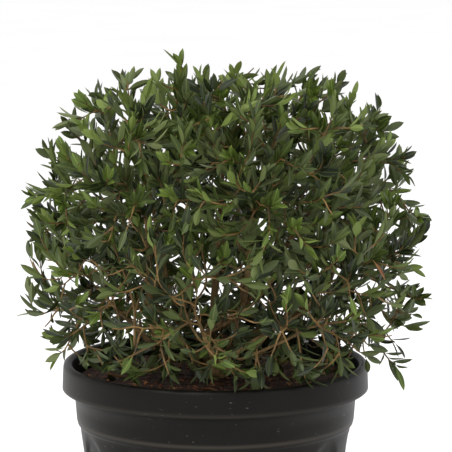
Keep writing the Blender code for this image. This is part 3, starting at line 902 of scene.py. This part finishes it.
# %% A green with a midrib and an underside
def leaf_finish(name, deep, plain, rib, under, roughness):
    tones = [(0.3, deep), (0.7, plain)]
    finish = mottled(name, tones, 26, roughness, relief=0.12, relief_scale=300, depth=0.0004, gloss=0.3)
    tree = finish.node_tree
    shader = tree.nodes["Principled BSDF"]
    upper = shader.inputs["Base Color"].links[0].from_socket
    split = node(tree, "ShaderNodeSeparateXYZ")
    tree.links.new(node(tree, "ShaderNodeUVMap", uv_map="blade").outputs["UV"], split.inputs["Vector"])
    below = node(tree, "ShaderNodeMath", operation="GREATER_THAN")
    below.inputs[1].default_value = 1.001
    tree.links.new(split.outputs["X"], below.inputs[0])
    across = node(tree, "ShaderNodeMath", operation="FRACT")
    tree.links.new(split.outputs["X"], across.inputs[0])
    vein = ramp_of(tree, [(0.42, (0, 0, 0, 1)), (0.5, (1, 1, 1, 1)), (0.58, (0, 0, 0, 1))])
    tree.links.new(across.outputs["Value"], vein.inputs["Fac"])
    ribbed = node(tree, "ShaderNodeMix", data_type="RGBA")
    ribbed.inputs["B"].default_value = rib
    tree.links.new(vein.outputs["Color"], ribbed.inputs["Factor"])
    tree.links.new(upper, ribbed.inputs["A"])
    sided = node(tree, "ShaderNodeMix", data_type="RGBA")
    sided.inputs["B"].default_value = under
    tree.links.new(below.outputs["Value"], sided.inputs["Factor"])
    tree.links.new(ribbed.outputs["Result"], sided.inputs["A"])
    tree.links.new(sided.outputs["Result"], shader.inputs["Base Color"])
    return finish


LEAF_TONES = {
    "deep": ((22, 31, 13), (33, 44, 18), (70, 82, 36), (68, 78, 42), 0.45),
    "plain": ((42, 55, 18), (60, 75, 26), (94, 106, 46), (86, 98, 50), 0.48),
    "dull": ((48, 58, 28), (68, 80, 40), (100, 110, 60), (94, 104, 62), 0.5),
    "fresh": ((62, 80, 26), (86, 104, 38), (116, 132, 58), (104, 120, 56), 0.5),
    "dry": ((84, 54, 30), (124, 84, 50), (150, 112, 74), (132, 98, 64), 0.8),
}
GREENS = {
    kind: leaf_finish(f"{kind} leaves", *[tint(*tone) for tone in tones], roughness)
    for kind, (*tones, roughness) in LEAF_TONES.items()
}
print("leaf finishes:", ", ".join(GREENS))

# %% [markdown]
# ## The leaves
#
# The leaves stand in opposite pairs, each pair turned a quarter from the last, from a little way up
# the twig to its tip, where they stand closer and steeper. A leaf that would leave the crown's
# outline, touch a limb or reach into the pot is left out. Twigs carry mature leaves, and the last
# pairs of some are fresh. Twigs that end higher get fewer deep-green leaves and more fresh ones:
# painted light on the upper crown and painted shade below, over the leaves' own mix of old and young.
# Fewer leaves stand before the boughs that show.

# %% Put leaf pairs along the twigs
LEAF_LENGTH = 0.0325
LEAF_WIDTH = 0.0096
PAIR_STEP = 0.0095
OUTLINE_SHARES = (0.98, 1.05)
SPRIG_SHARE = 1.3
SIDE_SLOPES = (26, 56)
TIP_SLOPES = (16, 34)
UPTURN = 0.32
LIMB_ROOM = 0.0025
LEAF_POT_ROOM = 0.003
# Between these heights the leaves' colours go from painted shade to painted light.
LIT_FROM = 0.34
LIT_OVER = 0.30
BARE_FOOT = 0.012
sprays = {name: [] for name in GREENS}


SEEN_BOUGHS = np.array([list(place) for _, line in shown for place in line])
WINDOW = 0.013
OPENED = 0.85


def hides_bough(place):
    """Whether a leaf there would lie in front of one of the boughs that show at the front."""
    away = SEEN_BOUGHS - np.array(place)
    aside = np.hypot(away[:, 0], away[:, 2] + away[:, 1] * math.tan(VIEW_SLOPE))
    return bool(((away[:, 1] > LEAST_STEP) & (aside < WINDOW)).any()) and rng.random() < OPENED


def add_leaf(kind, foot, direction, heading, length, width):
    """One more leaf for a spray, with its upper side towards the twig's tip."""
    normal = heading - direction * heading.dot(direction)
    normal = normal.normalized() if normal.length > 1e-4 else direction.orthogonal().normalized()
    sprays[kind].append((foot, *axes_along(direction, normal, length, width, LEAF_THICKNESS)))


def keeps_clear(foot, direction, length, most):
    """Whether a leaf stays in the crown's outline, out of the pot and off the limbs."""
    line = np.array([list(foot + direction * (length * share)) for share in (0.35, 0.7, 1.0)])
    if shares_of(line).max() > most or not clear_of_pot(line, LEAF_POT_ROOM).all():
        return False
    return all(limb_tree.find_nearest(Vector(place), LIMB_ROOM)[0] is None for place in line)


def pairs_along(points, bare, most):
    """Leaf pairs on one twig, past its bare foot."""
    # The leaves' kind follows the height of the twig's end: more deep-green leaves low down are painted
    # shade, and more plain, dull and fresh ones high up are painted light, over the real mix of old and young
    # leaves.
    lit = min(max((points[-1].z - LIT_FROM) / LIT_OVER, 0), 1)
    shares = (0.74 - 0.50 * lit, 0.20 + 0.36 * lit, 0.06 + 0.14 * lit)
    body = rng.choices(("deep", "plain", "dull"), shares)[0]
    young = rng.random() < 0.14 + 0.30 * lit
    side = (points[-1] - points[0]).orthogonal().normalized()
    side.rotate(Matrix.Rotation(rng.uniform(0, math.pi), 3, (points[-1] - points[0]).normalized()))
    whole = length_of(points)
    way, due, turn = 0.0, bare, 0
    for first, second in zip(points, points[1:]):
        heading = (second - first).normalized()
        step = (second - first).length
        while due <= way + step:
            foot = first + heading * (due - way)
            near_tip = due > whole - 2.2 * PAIR_STEP
            kind = "fresh" if young and near_tip else body
            across = (side - heading * side.dot(heading)).normalized()
            across.rotate(Matrix.Rotation(turn * math.pi / 2 + rng.uniform(-0.25, 0.25), 3, heading))
            for sign in (-1, 1):
                slope = math.radians(rng.uniform(*(TIP_SLOPES if near_tip else SIDE_SLOPES)))
                direction = heading * math.cos(slope) + across * (sign * math.sin(slope)) + UP * UPTURN
                direction.normalize()
                length = LEAF_LENGTH * rng.uniform(0.72, 1.18) * (0.8 if near_tip and young else 1)
                if not keeps_clear(foot, direction, length, most):
                    continue
                if not hides_bough(foot + direction * length / 2):
                    add_leaf(kind, foot, direction, heading, length, LEAF_WIDTH * rng.uniform(0.75, 1.2))
            turn += 1
            due += PAIR_STEP * rng.uniform(0.8, 1.25)
        way += step
    lean = Vector([rng.uniform(-0.35, 0.35) for _ in range(3)])
    direction = (heading + lean).normalized()
    length = LEAF_LENGTH * rng.uniform(0.6, 0.9)
    if keeps_clear(points[-1], direction, length, most):
        add_leaf("fresh" if young else body, points[-1], direction, heading, length, LEAF_WIDTH * 0.8)


LOW = 0.47
LOW_BARE = 0.020
for twigs in TWIGS.values():
    for points in twigs[1:]:
        sprig = any((points[-1] - far_end(tip)).length < 1e-4 for tip in FAR_TIPS)
        bare = BARE_FOOT + LOW_BARE * rng.random() * (points[-1].z < LOW)
        pairs_along(points, bare, SPRIG_SHARE if sprig else rng.uniform(*OUTLINE_SHARES))
for _, points in shown:
    pairs_along(points[len(points) // 2 :], 0.02, 1)
for tip in FAR_TIPS:
    foot = far_end(tip)
    direction = (tip - foot).normalized()
    facing = UP if abs(direction.z) < 0.9 else Vector((0, -1, 0))
    add_leaf("fresh", foot, direction, facing, (tip - foot).length, LEAF_WIDTH)
print("leaves:", {kind: len(places) for kind, places in sprays.items()})

# %% [markdown]
# ## Fallen leaves
#
# A few dry leaves lie on the soil, and one has died on its twig near the right-hand side.

# %% Dry leaves
FALLEN = 34
FALLEN_REACH = 0.165
FALLEN_ROOM = 0.160
TRUNK_ROOM = 0.035
FALLEN_LENGTH = 0.024
FALLEN_WIDTH = 0.0075
FALLEN_LIFT = 0.0022
DEAD_LEAF = Vector((0.196, -0.150, 0.482))

for _ in range(FALLEN):
    turn = rng.uniform(0, 2 * math.pi)
    radius = FALLEN_REACH * math.sqrt(rng.uniform(0.2, 1))
    foot = Vector((radius * math.cos(turn), radius * math.sin(turn), 0))
    direction = Vector((rng.uniform(-1, 1), rng.uniform(-1, 1), 0.06)).normalized()
    middle = foot + direction * (FALLEN_LENGTH / 2)
    if math.hypot(middle.x, middle.y) < FALLEN_ROOM and math.hypot(foot.x, foot.y) > TRUNK_ROOM:
        foot.z = soil_height(foot.x, foot.y) + FALLEN_LIFT
        add_leaf("dry", foot, direction, UP, FALLEN_LENGTH, FALLEN_WIDTH)
add_leaf("dry", DEAD_LEAF, Vector((0.5, -0.3, -0.7)).normalized(), UP, 0.030, 0.009)

foliage = sorted(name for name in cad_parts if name.startswith("foliage"))
for kind, places in sprays.items():
    blades = laid_out(f"leaves {kind}", leaf_template, places)
    piece_of(f"leaves_{kind}", blades, GREENS[kind], foliage)
